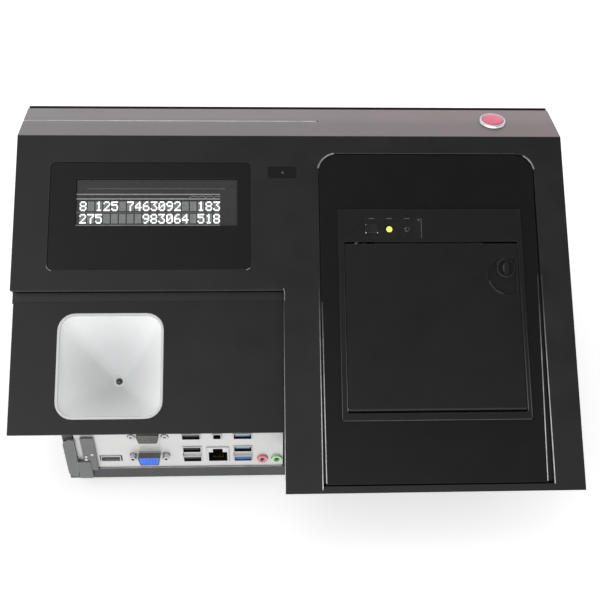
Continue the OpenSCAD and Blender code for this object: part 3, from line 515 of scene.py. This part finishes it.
def paint(name, key, lo, hi, matrix=None):
    """Gives the faces of a CAD node whose centres lie in a box, in mm, another finish."""
    mesh = NODES[name].data
    if mesh.materials.find(M[key].name) < 0:
        mesh.materials.append(M[key])
    index = mesh.materials.find(M[key].name)
    back = (matrix or ROW).inverted()
    for face in mesh.polygons:
        c = back @ face.center
        if all(l <= v <= h for l, v, h in zip(lo, c, hi)):
            face.material_index = index


# Sizes shared with the CAD source, in mm
SHIELD_Y = 48.6
SOCKET_Y = 47.6
VGA_X = -110
D_PORTS = {"vga_port": (31.2, 6.1), "serial_port": (52.2, 2.4)}
USB_X = {"usb2_ports": -77.9, "usb3_ports": -39.4}
USB_Z = (26.6, 37.6, 52.2)
HDMI = (-139.7, 27.9)
JACKS = {"microphone_jack": -24.5, "headphone_jack": -13.6}
JACK_Z = 26

paint("status_leds", "led_on", (66, 190, 0.2), (79.4, 200, 9), DECK)
paint("status_leds", "led_off", (79.6, 190, 0.2), (92, 200, 9), DECK)
paint("scanner_funnel", "collar", (-200, 0, -7.9), (0, 140, 9), DECK)
paint("chassis_cheeks", "cheek", (-180, 0, 0), (-140, 60, 60))
# The raised top edge of the scanner cover gets the lighter black: a painted highlight
paint("scanner_cover", "band_highlight", (-210, 141, -6.7), (0, 149.4, -6.5), DECK)
for name, x in USB_X.items():
    for z in USB_Z:
        paint(name, "dark_plastic", (x - 6.6, SOCKET_Y + 0.2, z - 2.6), (x + 6.6, 66, z + 2.6))
paint("hdmi_port", "dark_plastic", (HDMI[0] - 7, SOCKET_Y + 0.2, HDMI[1] - 2.4), (HDMI[0] + 7, 66, HDMI[1] + 2.4))
paint("lan_port", "dark_plastic", (-65.6, SOCKET_Y + 0.2, 24), (-51.2, 64, 38.6))
paint("lan_port", "dark_plastic", (-61.4, SOCKET_Y + 0.2, 49.5), (-55.6, 64, 54.6))
for name, x in JACKS.items():
    paint(name, "shell", (x - 2.4, SHIELD_Y - 1.9, JACK_Z - 2.4), (x + 2.4, 64, JACK_Z + 2.4))

# ---- character display ----

GLYPHS = {
    "0": (".###.", "#...#", "#..##", "#.#.#", "##..#", "#...#", ".###."),
    "1": ("..#..", ".##..", "..#..", "..#..", "..#..", "..#..", ".###."),
    "2": (".###.", "#...#", "....#", "...#.", "..#..", ".#...", "#####"),
    "3": ("#####", "...#.", "..#..", "...#.", "....#", "#...#", ".###."),
    "4": ("...#.", "..##.", ".#.#.", "#..#.", "#####", "...#.", "...#."),
    "5": ("#####", "#....", "####.", "....#", "....#", "#...#", ".###."),
    "6": ("..##.", ".#...", "#....", "####.", "#...#", "#...#", ".###."),
    "7": ("#####", "....#", "...#.", "..#..", "..#..", "..#..", "..#.."),
    "8": (".###.", "#...#", "#...#", ".###.", "#...#", "#...#", ".###."),
    "9": (".###.", "#...#", "#...#", ".####", "....#", "...#.", ".##.."),
    " ": (".....",) * 7,
}
ROWS = {218.3: "8 125 7463092  183", 208.5: "275     983064 518"}
CELL_W, CELL_X1 = 5.91, -55.4
DOT_W, DOT_L, PITCH_X, PITCH_S = 0.92, 0.96, 1.0, 1.07
TUBE_H = -1.4


def pill(bm, x, s, w, l, h0, h1, r=0.2, steps=2):
    prism(bm, rounded(x, s, w, l, r, steps), h0, h1)


def display():
    lit, unlit = bmesh.new(), bmesh.new()
    for top, text in ROWS.items():
        first = CELL_X1 - CELL_W * len(text)
        for i, char in enumerate(text):
            for row, line in enumerate(GLYPHS[char]):
                for col, dot in enumerate(line):
                    x = first + CELL_W * i + 0.5 * (CELL_W - 4 * PITCH_X) + PITCH_X * col
                    s = top - 0.55 - PITCH_S * row
                    w = DOT_W + (0.06 if dot == "#" else 0)
                    target = lit if dot == "#" else unlit
                    pill(target, x, s, w, DOT_L + 0.04, TUBE_H, TUBE_H + 0.12)
    finish_mesh("lit_dots", lit, M["lit"], "body")
    finish_mesh("unlit_dots", unlit, M["unlit"], "body")
    wires, faint = bmesh.new(), bmesh.new()
    for s, w in ((199.6, 0.7), (220.3, 0.9), (223.9, 0.8)):
        pill(wires, -110, s, 108.4, w, TUBE_H, TUBE_H + 0.1)
    for k in range(16):
        pill(wires, -78.5 + 1.5 * k, 222.4 if k % 4 else 221.6, 0.9, 0.6, TUBE_H, TUBE_H + 0.12)
    pill(faint, -104, 228.4, 104, 0.8, TUBE_H, TUBE_H + 0.1)
    pill(faint, -110, 209.6, 108.4, 1.4, TUBE_H, TUBE_H + 0.06)
    finish_mesh("grid_wires", wires, M["wire"], "body")
    finish_mesh("faint_wires", faint, M["faint"], "body")


display()

# ---- controls ----


def ring_strip(bm, rings):
    """Joins closed loops of points that have the same count; the last loop is capped."""
    loops = [[bm.verts.new(p) for p in ring] for ring in rings]
    n = len(loops[0])
    for a, b in zip(loops, loops[1:]):
        for k in range(n):
            l = (k + 1) % n
            bm.faces.new((a[k], a[l], b[l], b[k]))
    bm.faces.new(loops[-1])


def loop(cx, cy, rx, ry, h, n=48):
    return [(cx + rx * math.cos(TAU * k / n), cy + ry * math.sin(TAU * k / n), h) for k in range(n)]


# Red lens over the power key, and dark rings inside and around its ring: painted shadow lines
LENS_R = 8.3
MID_Y = DECK_RUN + 0.5 * STRIP_DEPTH
BUTTON = (160.6, MID_Y, 0)
dome = bmesh.new()
profile = [(0, TOP_Z - 11.5), (LENS_R, TOP_Z - 11.5), (LENS_R, TOP_Z + RED_RIM)]
for k in range(1, 9):
    a = math.radians(90 * k / 8)
    profile.append((LENS_R * math.cos(a), TOP_Z + RED_RIM + RED_RISE * math.sin(a)))
profile[-1] = (0, profile[-1][1])
lathe(dome, profile, BUTTON, close=False)
lens = finish_mesh("red_lens", dome, M["red"], "power_key", ROW, smooth=True)
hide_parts("button_cap")
ring_shadow = bmesh.new()
lathe(ring_shadow, [(9.9, TOP_Z + 0.02), (10.9, TOP_Z + 0.02), (10.7, TOP_Z + 0.5), (9.9, TOP_Z + 0.6)], BUTTON)
lathe(ring_shadow, [(8.45, TOP_Z + 1.2), (8.75, TOP_Z + 1.2), (8.75, TOP_Z + 2.28), (8.45, TOP_Z + 2.28)], BUTTON)
finish_mesh("ring_painted_shadow", ring_shadow, M["dark_plastic"], "body", ROW, smooth=True)

# Slotted face of the door latch
LATCH = (160.6, 165)
face = bmesh.new()
ring_strip(face, [
    loop(*LATCH, 6.9, 6.9, 0.0), loop(*LATCH, 6.9, 6.9, 0.25), loop(*LATCH, 6.3, 6.3, 0.5),
    loop(*LATCH, 2.3, 4.3, 0.62), loop(*LATCH, 1.9, 3.9, 0.5), loop(*LATCH, 1.6, 3.6, -0.35)])
finish_mesh("latch_face", face, M["panel"], "latch", bevel=0.08)
# Steel on the left part of the slot's rim only: a painted highlight
rim = bmesh.new()
outer, inner = loop(*LATCH, 2.35, 4.35, 0.6), loop(*LATCH, 1.75, 3.75, 0.6)
for k in range(15, 34):
    prism(rim, [point[:2] for point in (outer[k], outer[k + 1], inner[k + 1], inner[k])], 0.6, 0.78)
bmesh.ops.remove_doubles(rim, verts=rim.verts, dist=1e-4)
finish_mesh("latch_rim", rim, M["steel"], "latch")

# Indicator marks and border of the status label
marks = bmesh.new()
for x in (59, 72.6, 86.2):
    pill(marks, x, 204.0, 4.2, 0.55, LABEL_H, LABEL_H + 0.05)
pill(marks, 97.1, 196.4, 0.4, 15.6, LABEL_H, LABEL_H + 0.05, 0.15)
for k in range(4):
    a = math.radians(45 * k)
    c, s = math.cos(a), math.sin(a)
    pts = [(95.2 + u * c - v * s, 202.9 + u * s + v * c) for u, v in ((-1, -0.12), (1, -0.12), (1, 0.12), (-1, 0.12))]
    prism(marks, pts, LABEL_H, LABEL_H + 0.05)
finish_mesh("label_marks", marks, M["mark"], "body")

spot = bmesh.new()
for w, h in ((1.5, 0.0), (0.7, 0.04)):
    prism(spot, rounded(-8, 241, w, w, 0.2, 2), -0.3 + h, -0.24 + h)
finish_mesh("sensor_mark", spot, M["mark"], "body")

# Pale glowing strips in the mouth of the card slot: a painted highlight on its edges
slot_highlight_strips = bmesh.new()
for y, width in ((MID_Y - 1.08, 0.25), (MID_Y + 0.25, 0.83)):
    box(slot_highlight_strips, (-209.4, y, TOP_Z - 2.8), (19.8, y + width, TOP_Z - 0.25))
finish_mesh("slot_edge_highlight", slot_highlight_strips, M["painted_glint"], "body", ROW, bevel=0.05)

# ---- scanner ----

EYE = (-133.8, 85.5)
glass = bmesh.new()
lathe(glass, [(2.45, -37.4), (2.45, -36.0), (2.1, -35.9), (1.7, -36.3), (1.1, -36.0), (0, -35.85)],
      (*EYE, 0), close=False)
finish_mesh("camera_lens", glass, M["lens"], "body", smooth=True)

# ---- connectors ----


def d_loop(x, z, w, h, r=1.1, steps=4):
    """D-shaped outline in x and z, wide side up."""
    taper = 1.4
    corners = [(w / 2, h / 2, 0), (-w / 2, h / 2, 90), (taper - w / 2, -h / 2, 180), (w / 2 - taper, -h / 2, 270)]
    pts = []
    for cx, cz, a0 in corners:
        for k in range(steps + 1):
            a = math.radians(a0 + 90 * k / steps)
            pts.append((x + cx - math.copysign(r, cx) + r * math.cos(a),
                        z + cz - math.copysign(r, cz) + r * math.sin(a)))
    return pts


for name, (z, reach) in D_PORTS.items():
    ring = bmesh.new()
    y0, y1 = SHIELD_Y - reach - 0.5, SHIELD_Y - 1.3
    out, inn = d_loop(VGA_X, z, 17.0, 8.9), d_loop(VGA_X, z, 15.8, 7.8, 0.8)
    ring_strip(ring, [[(px, y, pz) for px, pz in pts]
                      for pts, y in ((out, y1), (out, y0), (inn, y0), (inn, y0 + 0.42))])
    finish_mesh(name + "_rim", ring, M["hood"], "body", ROW, bevel=0.12)

# Inserts of the D-shaped sockets, with rows of dark discs where the contact holes are: painted shade
for name, key, rows, count, pitch in (("vga_port", "vga_blue", 3, 5, 2.2), ("serial_port", "hood", 2, 5, 2.6)):
    z, reach = D_PORTS[name]
    y = SHIELD_Y - reach - 0.35
    insert, holes = bmesh.new(), bmesh.new()
    ring_strip(insert, [[(px, v, pz) for px, pz in d_loop(VGA_X, z, w, h, 0.8)]
                        for v, w, h in ((y + 1.2, 15.7, 7.7), (y + 0.1, 15.7, 7.7), (y, 15.4, 7.4))])
    for row in range(rows):
        for k in range(count):
            centre = (VGA_X + pitch * (k - count // 2 + 0.25 * (row % 2)), 0, z + 1.9 * (0.5 * (rows - 1) - row))
            lathe(holes, [(0, y - 0.03), (0.4, y - 0.03), (0.45, y + 0.1), (0, y + 0.1)], centre, "y", 16, close=False)
    finish_mesh(name + "_insert", insert, M[key], "body", ROW, bevel=0.1)
    finish_mesh(name + "_hole_shade", holes, M["dark_plastic"], "body", ROW)

# Tongues in the sockets, contacts, audio rings
tongues = bmesh.new()
x = USB_X["usb2_ports"]
for z in USB_Z:
    box(tongues, (x - 5.6, SOCKET_Y + 1.4, z - 0.2), (x + 5.6, SOCKET_Y + 9, z + 1.7))
box(tongues, (HDMI[0] - 5.6, SOCKET_Y + 1.2, HDMI[1] - 0.7), (HDMI[0] + 5.6, SOCKET_Y + 9, HDMI[1] + 0.7))
finish_mesh("dark_tongues", tongues, M["dark_plastic"], "body", ROW, bevel=0.2)
blue = bmesh.new()
x = USB_X["usb3_ports"]
box(blue, (x - 6.3, SOCKET_Y + 0.9, USB_Z[0] - 2.3), (x + 6.3, SOCKET_Y + 9, USB_Z[0] + 2.2))
finish_mesh("blue_liner", blue, M["usb_blue"], "body", ROW, bevel=0.25)
# Upper USB 3 tongues in the paler blue: a painted highlight
pale = bmesh.new()
box(pale, (x - 5.4, SOCKET_Y + 0.7, USB_Z[1] + 0.3), (x + 5.4, SOCKET_Y + 9, USB_Z[1] + 2.3))
box(pale, (x - 5.4, SOCKET_Y + 0.9, USB_Z[2] - 0.6), (x + 5.4, SOCKET_Y + 9, USB_Z[2] + 1.4))
finish_mesh("highlit_blue_tongues", pale, M["pale_blue"], "body", ROW, bevel=0.25)
pins = bmesh.new()
for k in range(8):
    box(pins, (-62.3 + 1.05 * k, SOCKET_Y + 4, 24.3), (-61.8 + 1.05 * k, SOCKET_Y + 12, 24.9))
finish_mesh("lan_hole_shade", pins, M["brass"], "body", ROW, bevel=0.08)
for name, px in JACKS.items():
    cup = bmesh.new()
    lathe(cup, [(2.2, SHIELD_Y - 0.2), (2.2, SHIELD_Y - 1.2), (1.75, SHIELD_Y - 1.2), (1.75, SHIELD_Y - 0.2)],
          (px, 0, JACK_Z), "y", 32)
    finish_mesh(name + "_contact", cup, M["shell"], "body", ROW, bevel=0.08)
nubs = bmesh.new()
for px, z in ((-157.5, 33), (-152.8, 35.5), (-157.8, 29.8)):
    lathe(nubs, [(0, 45.2), (0.8, 45.3), (1.2, 45.8), (1.2, 46.1), (0, 46.1)], (px, 0, z), "y", 20, close=False)
finish_mesh("post_screws", nubs, M["shell"], "body", ROW, smooth=True)

# ---- painted highlights on edges ----


def bead(bm, points, width, rise, h):
    """A low rounded bead along a path of (x, s) points."""
    section = [(-0.5, 0.0), (-0.3, 0.75), (0.0, 1.0), (0.3, 0.75), (0.5, 0.0)]
    rows = []
    for i, (px, ps) in enumerate(points):
        a = Vector(points[max(i - 1, 0)])
        b = Vector(points[min(i + 1, len(points) - 1)])
        t = (b - a).normalized()
        side = Vector((t.y, -t.x))
        rows.append([bm.verts.new((px + side.x * width * u, ps + side.y * width * u, h + rise * v))
                     for u, v in section])
    for a, b in zip(rows, rows[1:]):
        for k in range(len(section) - 1):
            bm.faces.new((a[k], a[k + 1], b[k + 1], b[k]))
        bm.faces.new((a[-1], a[0], b[0], b[-1]))
    bm.faces.new(rows[0])
    bm.faces.new(rows[-1][::-1])


def painted_edge_highlights():
    bright, dim, painted_glint, latch, key, feed = (bmesh.new() for _ in range(6))
    # painted highlights on the recess edge beside the scanner cover, and on the lips of the inset panel
    bead(bright, [(-7.6, 1.5), (-7.6, 60), (-7.6, 120), (-7.6, 149)], 1.3, 0.12, -0.12)
    bead(bright, [(18.7, 2.5), (18.7, 60), (18.5, 120), (18.5, 150)], 0.7, 0.14, -0.03)
    bead(bright, [(21.5, 7), (21.1, 60), (20.7, 120), (20.5, 140)], 0.7, 0.14, PANEL_H - 0.03)
    bead(bright, [(187.5, 5), (187.5, 60), (187.5, 125), (187.5, 160)], 0.8, 0.14, -0.03)
    bead(bright, [(182.4, 7), (183.3, 60), (184.3, 120), (184.9, 160)], 0.7, 0.14, PANEL_H - 0.03)
    # door and bezel: fainter painted highlights
    bead(dim, [(37.7, 58), (37.7, 90), (37.7, 150)], 0.45, 0.1, 0.78)
    bead(dim, [(171.0, 58), (171.0, 90), (171.0, 150)], 0.5, 0.1, 0.78)
    bead(dim, [(33.9, 53), (33.9, 90), (33.9, 150)], 0.4, 0.1, 0.76)
    bead(dim, [(173.5, 53), (173.5, 90), (173.5, 130)], 0.4, 0.1, 0.76)
    bead(dim, [(34.5, 51.5), (100, 51.5), (173, 51.5)], 0.4, 0.1, 0.76)
    # painted highlights on the joint above the scanner cover, the top of the inset panel and the right side of its
    # corners
    dim_highlight = bmesh.new()
    box(dim_highlight, (-208.0, 148.75, -1.4), (-8.9, 149.45, -0.12))
    bead(dim_highlight, [(33, 256.6), (100, 256.6), (173, 256.6)], 0.6, 0.12, -0.04)
    finish_mesh("seam_painted_highlights", dim_highlight, M["dim_highlight"], "body", bevel=0.1)
    for cx, a0, a1 in ((34.2, 100, 168), (172, 10, 62)):
        bead(painted_glint, arc_path(cx, 241.3, 15.4, range(a0, a1 + 1, 4)), 1.3, 0.16, -0.04)
    bead(painted_glint, [(-8.1, 150.4), (-7.4, 147), (-7.5, 141)], 0.7, 0.14, -0.1)
    # painted glints on the display window corners
    for cx, a0, a1 in ((-180.1, 185, 270), (-36.4, 275, 330)):
        bead(painted_glint, arc_path(cx, 168.8, 4.1, range(a0, a1 + 1, 8)), 0.6, 0.1, -0.03)
    # latch: painted highlight on an arc of its ring and of the finger scoop
    bead(latch, arc_path(*LATCH, 7.6, range(95, 156, 5)), 0.5, 0.12, 0.38)
    bead(latch, arc_path(161.5, 159.5, 14.6, range(195, 256, 5)), 0.6, 0.12, 0.36)
    # painted glints on the feed key corners and on the dark indicator
    for px, ps, r in ((54.6, 192.7, 0.45), (63.4, 192.7, 0.4), (54.6, 199.3, 0.25)):
        lathe(feed, [(0, 1.68), (r, 1.68), (0.6 * r, 1.8), (0, 1.82)], (px, ps, 0), steps=12, close=False)
    for px, ps in ((84.9, 196.0), (86.9, 196.2)):
        lathe(key, [(0, 1.2), (0.35, 1.2), (0.25, 1.35), (0, 1.4)], (px, ps, 0), steps=12, close=False)
    # Painted highlight along the top of the tray lip
    lip = bmesh.new()
    bead(lip, [(-149.5, 47.9), (-80, 47.9), (-9.5, 47.9)], 0.7, 0.2, 17.0)
    finish_mesh("lip_painted_glint", lip, M["glint"], "body", ROW)
    finish_mesh("corner_painted_glints", painted_glint, M["corner_glint"], "body")
    finish_mesh("latch_painted_highlights", latch, M["dim_highlight"], "door")
    finish_mesh("indicator_glints", key, M["painted_glint"], "body")
    finish_mesh("feed_key_glints", feed, M["painted_glint"], "feed_key")
    finish_mesh("lit_edges", bright, M["glint"], "body")
    finish_mesh("soft_painted_glints", dim, M["soft_glint"], "body")


painted_edge_highlights()

# ---- paper ----

ROLL_S, ROLL_H = 147 - 2.7 * SIN, -43 - 2.7 * COS
MID_X, ROLL_W = 104.25, 80.0
core = bmesh.new()
lathe(core, [(6.45, -ROLL_W / 2 + 0.2), (6.45, ROLL_W / 2 - 0.2), (5.0, ROLL_W / 2 - 0.2), (5.0, -ROLL_W / 2 + 0.2)],
      (MID_X, ROLL_S, ROLL_H), "x", 40)
finish_mesh("roll_core", core, M["card"], "roll", DECK, bevel=0.15)
turns = bmesh.new()
random.seed(7)
for side in (-1, 1):
    for k in range(9):
        r = 9.5 + 3.0 * k + random.uniform(-0.6, 0.6)
        x0 = MID_X + side * ROLL_W / 2
        lathe(turns, [(r, x0 - 0.05), (r + 0.35, x0 - 0.05), (r + 0.35, x0 + 0.05), (r, x0 + 0.05)],
              (0, ROLL_S, ROLL_H), "x", 48)
finish_mesh("roll_layers", turns, M["card"], "roll")

# ---- clerk's screen ----

SCREEN_L = (TOP_Z - BASE_MM) / SS
area = bmesh.new()
prism(area, rounded(0, SCREEN_L / 2 + 0.6, 346, 190, 1.0, 3), -0.22, -0.14)
finish_mesh("screen_area", area, M["screen_area"], "body", SCREEN, bevel=0.04)
eyelet = bmesh.new()
lathe(eyelet, [(0, -0.2), (1.3, -0.2), (1.3, -0.12), (0.8, -0.08), (0, -0.1)],
      (0, SCREEN_L - 8, 0), close=False, steps=24)
finish_mesh("screen_sensor", eyelet, M["lens"], "body", SCREEN, smooth=True)

# ---- studio ----

floor_bm = bmesh.new()
bmesh.ops.create_grid(floor_bm, x_segments=1, y_segments=1, size=6)
floor_mesh = bpy.data.meshes.new("floor")
floor_bm.to_mesh(floor_mesh)
floor_bm.free()
floor = bpy.data.objects.new("floor", floor_mesh)
bpy.context.scene.collection.objects.link(floor)
floor_finish = surface("pale_floor", (0.86, 0.86, 0.86), 0.8, spec=0.1, vary=0.01, mottle=3, light=FLOOR_LIGHT)
floor.data.materials.append(floor_finish)

# World: even soft light, dimmer in one broad patch over the deck so that its gloss stays dark
world = bpy.data.worlds.new("studio")
bpy.context.scene.world = world
world.use_nodes = True
wt = world.node_tree
wt.nodes.clear()
w_out = wt.nodes.new("ShaderNodeOutputWorld")
w_bg = wt.nodes.new("ShaderNodeBackground")
wt.links.new(w_bg.outputs[0], w_out.inputs[0])
w_dir = wt.nodes.new("ShaderNodeTexCoord")


def light_towards(direction, low, high, cosines):
    """Strength that goes from low to high as the cosine to direction goes through cosines."""
    dot = wt.nodes.new("ShaderNodeVectorMath")
    dot.operation = "DOT_PRODUCT"
    dot.inputs[1].default_value = Vector(direction).normalized()
    wt.links.new(w_dir.outputs["Generated"], dot.inputs[0])
    return spread(wt, dot.outputs["Value"], low, high, frm=cosines)


patch_cosines = (math.cos(math.radians(PATCH_EDGE)), math.cos(math.radians(PATCH_CORE)))
patch = light_towards(PATCH_TOWARDS, SKY, PATCH_LIGHT, patch_cosines)
front = light_towards(FRONT_TOWARDS, 0.0, FRONT_LIGHT, FRONT_COSINES)
wt.links.new(math_node(wt, "ADD", patch, front), w_bg.inputs["Strength"])
w_bg.inputs["Color"].default_value = (1, 1, 1, 1)

scene = bpy.context.scene
scene.view_settings.view_transform = "Standard"
scene.view_settings.look = "None"

SENSOR_MM = 36
LENS_MM = 52.65
EYE_PLACE = Vector((-24.6 * MM, FRONT_Y - 381.5 * MM, 561.1 * MM))
cam_data = bpy.data.cameras.new("camera")
cam_data.sensor_width = SENSOR_MM
cam_data.lens = LENS_MM
cam_data.clip_start = 0.01
camera = bpy.data.objects.new("camera", cam_data)
scene.collection.objects.link(camera)
scene.camera = camera
PITCH, YAW, ROLL = math.radians(40.99), math.radians(3.32), math.radians(1.89)
fwd = Vector((math.sin(YAW) * math.cos(PITCH), math.cos(YAW) * math.cos(PITCH), -math.sin(PITCH)))
right = Vector((math.cos(YAW), -math.sin(YAW), 0))
up = right.cross(fwd)
cam_x = right * math.cos(ROLL) + up * math.sin(ROLL)
cam_y = -right * math.sin(ROLL) + up * math.cos(ROLL)
cam_m = Matrix((cam_x, cam_y, -fwd)).transposed().to_4x4()
camera.matrix_world = Matrix.Translation(EYE_PLACE) @ cam_m

bpy.context.view_layer.update()
